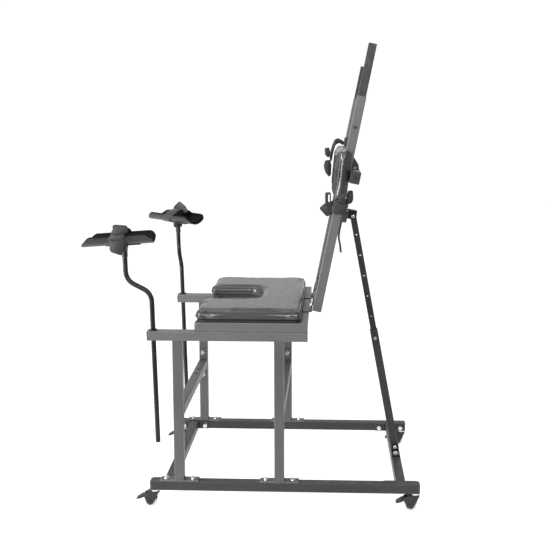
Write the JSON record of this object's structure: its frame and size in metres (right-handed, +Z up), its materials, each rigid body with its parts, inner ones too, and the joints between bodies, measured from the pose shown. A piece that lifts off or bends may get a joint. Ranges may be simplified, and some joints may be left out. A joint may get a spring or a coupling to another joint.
{
  "type": "adjustable positioning chair",
  "caption": "Wheeled square-tube positioning chair: seat with a front cut-out, back reclining on a telescopic strut, shoulder pad, webbing cuffs and swivelling leg rests.",
  "frame": {"origin": "on the floor, in the plane of symmetry, midway along the base rails", "axes": "+Z up, +Y from the seat's front to its back, +X to the sitter's left; the rest pose is the pictured one"},
  "size_m": [0.8089, 1.1076, 1.5437],
  "materials": {
    "frame_paint": "smooth grey powder coat, satin",
    "dark_paint": "dark grey coated telescopic tube, satin",
    "black_paint": "black coated steel, satin",
    "bright_steel": "zinc plated fastener",
    "black_plastic": "black moulded plastic",
    "wheel_plastic": "light grey hard wheel",
    "vinyl": "grey vinyl upholstery, satin with glossy edges",
    "cradle_vinyl": "black vinyl covered trough",
    "webbing": "black woven nylon webbing",
    "board": "dark stained plywood edge"
  },
  "bodies": {
    "stand": {"left_base_rail": "frame_paint", "right_base_rail": "frame_paint", "front_lower_cross_tube": "frame_paint", "rear_cross_tube": "frame_paint", "left_front_upright": "frame_paint", "right_front_upright": "frame_paint", "left_mid_upright": "frame_paint", "right_mid_upright": "frame_paint", "front_upper_cross_tube": "frame_paint", "mid_upper_cross_tube": "frame_paint", "left_top_rail": "frame_paint", "right_top_rail": "frame_paint", "frame_tube_caps": "black_plastic", "frame_bolts": "bright_steel", "seat_side_tubes": "frame_paint", "seat_cross_tubes": "frame_paint", "seat_board": "board", "seat_cushion": "vinyl", "seat_hinge_leaves": "bright_steel", "strut_base_bracket": "black_paint", "caster_stems": "bright_steel"},
    "back": {"left_back_bar": "frame_paint", "right_back_bar": "frame_paint", "back_lower_cross_tube": "frame_paint", "strut_cross_tube": "frame_paint", "pad_cross_tube": "frame_paint", "back_hinge_leaves": "bright_steel", "shoulder_pad": "vinyl", "strut_top_bracket": "black_paint", "back_fasteners": "bright_steel", "wrist_straps": "webbing"},
    "left_extension": {"left_extension_tube": "dark_paint"},
    "right_extension": {"right_extension_tube": "dark_paint"},
    "strut_lower": {"strut_outer_tube": "frame_paint"},
    "strut_upper": {"strut_inner_tube": "dark_paint"},
    "lock_pin": {"strut_lock_pin": "bright_steel"},
    "left_swivel": {"left_post_bushing": "black_plastic"},
    "left_post": {"left_leg_post": "black_paint", "left_cradle_bracket": "black_plastic"},
    "left_cradle": {"left_cradle_shell": "cradle_vinyl", "left_leg_strap": "webbing"},
    "left_screw": {"left_clamp_screw": "bright_steel"},
    "right_swivel": {"right_post_bushing": "black_plastic"},
    "right_post": {"right_leg_post": "black_paint", "right_cradle_bracket": "black_plastic"},
    "right_cradle": {"right_cradle_shell": "cradle_vinyl", "right_leg_strap": "webbing"},
    "right_screw": {"right_clamp_screw": "bright_steel"},
    "caster_fl": {"caster_fork_fl": "black_plastic"},
    "wheel_fl": {"caster_wheel_fl": "wheel_plastic"},
    "pedal_fl": {"caster_pedal_fl": "black_plastic"},
    "caster_fr": {"caster_fork_fr": "black_plastic"},
    "wheel_fr": {"caster_wheel_fr": "wheel_plastic"},
    "pedal_fr": {"caster_pedal_fr": "black_plastic"},
    "caster_rl": {"caster_fork_rl": "black_plastic"},
    "wheel_rl": {"caster_wheel_rl": "wheel_plastic"},
    "pedal_rl": {"caster_pedal_rl": "black_plastic"},
    "caster_rr": {"caster_fork_rr": "black_plastic"},
    "wheel_rr": {"caster_wheel_rr": "wheel_plastic"},
    "pedal_rr": {"caster_pedal_rr": "black_plastic"}
  },
  "joints": [
    {"name": "back_recline", "type": "hinge", "parent": "stand", "child": "back", "pos_m": [0, 0.084, 0.643], "axis": [-1, 0, 0], "range_deg": [0, 30]},
    {"name": "left_extension_slide", "type": "slide", "parent": "back", "child": "left_extension", "axis": [0, 0.199, 0.98], "range_m": [-0.149, 0.061]},
    {"name": "right_extension_slide", "type": "slide", "parent": "back", "child": "right_extension", "axis": [0, 0.199, 0.98], "range_m": [-0.095, 0.115]},
    {"name": "strut_swing", "type": "hinge", "parent": "stand", "child": "strut_lower", "pos_m": [0, 0.3883, 0.1108], "axis": [-1, 0, 0], "range_deg": [0, 9.2]},
    {"name": "strut_slide", "type": "slide", "parent": "strut_lower", "child": "strut_upper", "axis": [0, -0.1836, 0.983], "range_m": [-0.127, 0]},
    {"name": "strut_lock_pin_pull", "type": "slide", "parent": "strut_lower", "child": "lock_pin", "axis": [1, 0, 0], "range_m": [0, 0.01], "stiffness_N_per_m": 600, "springref_m": -0.002},
    {"name": "left_post_swivel", "type": "hinge", "parent": "stand", "child": "left_swivel", "pos_m": [0.284, -0.432, 0.592], "axis": [0, -0.0236, 0.9997], "range_deg": [-90, 90]},
    {"name": "left_post_height", "type": "slide", "parent": "left_swivel", "child": "left_post", "axis": [0, -0.0236, 0.9997], "range_m": [-0.08, 0.15]},
    {"name": "left_cradle_tilt", "type": "hinge", "parent": "left_post", "child": "left_cradle", "pos_m": [0.284, -0.52086, 0.88199], "axis": [1, 0, 0], "range_deg": [-30, 30]},
    {"name": "left_clamp_screw_turn", "type": "hinge", "parent": "stand", "child": "left_screw", "pos_m": [0.284, -0.451, 0.592], "axis": [0, -1, 0], "continuous": true},
    {"name": "right_post_swivel", "type": "hinge", "parent": "stand", "child": "right_swivel", "pos_m": [-0.284, -0.432, 0.592], "axis": [0, -0.0236, 0.9997], "range_deg": [-16, 164]},
    {"name": "right_post_height", "type": "slide", "parent": "right_swivel", "child": "right_post", "axis": [0, -0.0236, 0.9997], "range_m": [-0.07, 0.16]},
    {"name": "right_cradle_tilt", "type": "hinge", "parent": "right_post", "child": "right_cradle", "pos_m": [-0.36282, -0.46124, 0.87339], "axis": [0.8387, -0.5445, -0.0128], "range_deg": [-30, 30]},
    {"name": "right_clamp_screw_turn", "type": "hinge", "parent": "stand", "child": "right_screw", "pos_m": [-0.284, -0.451, 0.592], "axis": [0, -1, 0], "continuous": true},
    {"name": "caster_swivel_fl", "type": "hinge", "parent": "stand", "child": "caster_fl", "pos_m": [0.284, -0.436, 0.05], "axis": [0, 0, 1], "continuous": true},
    {"name": "wheel_spin_fl", "type": "hinge", "parent": "caster_fl", "child": "wheel_fl", "pos_m": [0.284, -0.452, 0.02], "axis": [1, 0, 0], "continuous": true},
    {"name": "pedal_flip_fl", "type": "hinge", "parent": "caster_fl", "child": "pedal_fl", "pos_m": [0.284, -0.468, 0.041], "axis": [-1, 0, 0], "range_deg": [0, 15]},
    {"name": "caster_swivel_fr", "type": "hinge", "parent": "stand", "child": "caster_fr", "pos_m": [-0.284, -0.436, 0.05], "axis": [0, 0, 1], "continuous": true},
    {"name": "wheel_spin_fr", "type": "hinge", "parent": "caster_fr", "child": "wheel_fr", "pos_m": [-0.284, -0.452, 0.02], "axis": [1, 0, 0], "continuous": true},
    {"name": "pedal_flip_fr", "type": "hinge", "parent": "caster_fr", "child": "pedal_fr", "pos_m": [-0.284, -0.468, 0.041], "axis": [-1, 0, 0], "range_deg": [0, 15]},
    {"name": "caster_swivel_rl", "type": "hinge", "parent": "stand", "child": "caster_rl", "pos_m": [0.284, 0.436, 0.05], "axis": [0, 0, 1], "continuous": true},
    {"name": "wheel_spin_rl", "type": "hinge", "parent": "caster_rl", "child": "wheel_rl", "pos_m": [0.284, 0.42, 0.02], "axis": [1, 0, 0], "continuous": true},
    {"name": "pedal_flip_rl", "type": "hinge", "parent": "caster_rl", "child": "pedal_rl", "pos_m": [0.284, 0.404, 0.041], "axis": [-1, 0, 0], "range_deg": [0, 15]},
    {"name": "caster_swivel_rr", "type": "hinge", "parent": "stand", "child": "caster_rr", "pos_m": [-0.284, 0.436, 0.05], "axis": [0, 0, 1], "continuous": true},
    {"name": "wheel_spin_rr", "type": "hinge", "parent": "caster_rr", "child": "wheel_rr", "pos_m": [-0.284, 0.42, 0.02], "axis": [1, 0, 0], "continuous": true},
    {"name": "pedal_flip_rr", "type": "hinge", "parent": "caster_rr", "child": "pedal_rr", "pos_m": [-0.284, 0.404, 0.041], "axis": [-1, 0, 0], "range_deg": [0, 15]}
  ],
  "couplings": [
    {"joint": "strut_swing", "follows": "back_recline", "ratio": 0.305},
    {"joint": "strut_slide", "follows": "back_recline", "m_per_rad": -0.24}
  ]
}
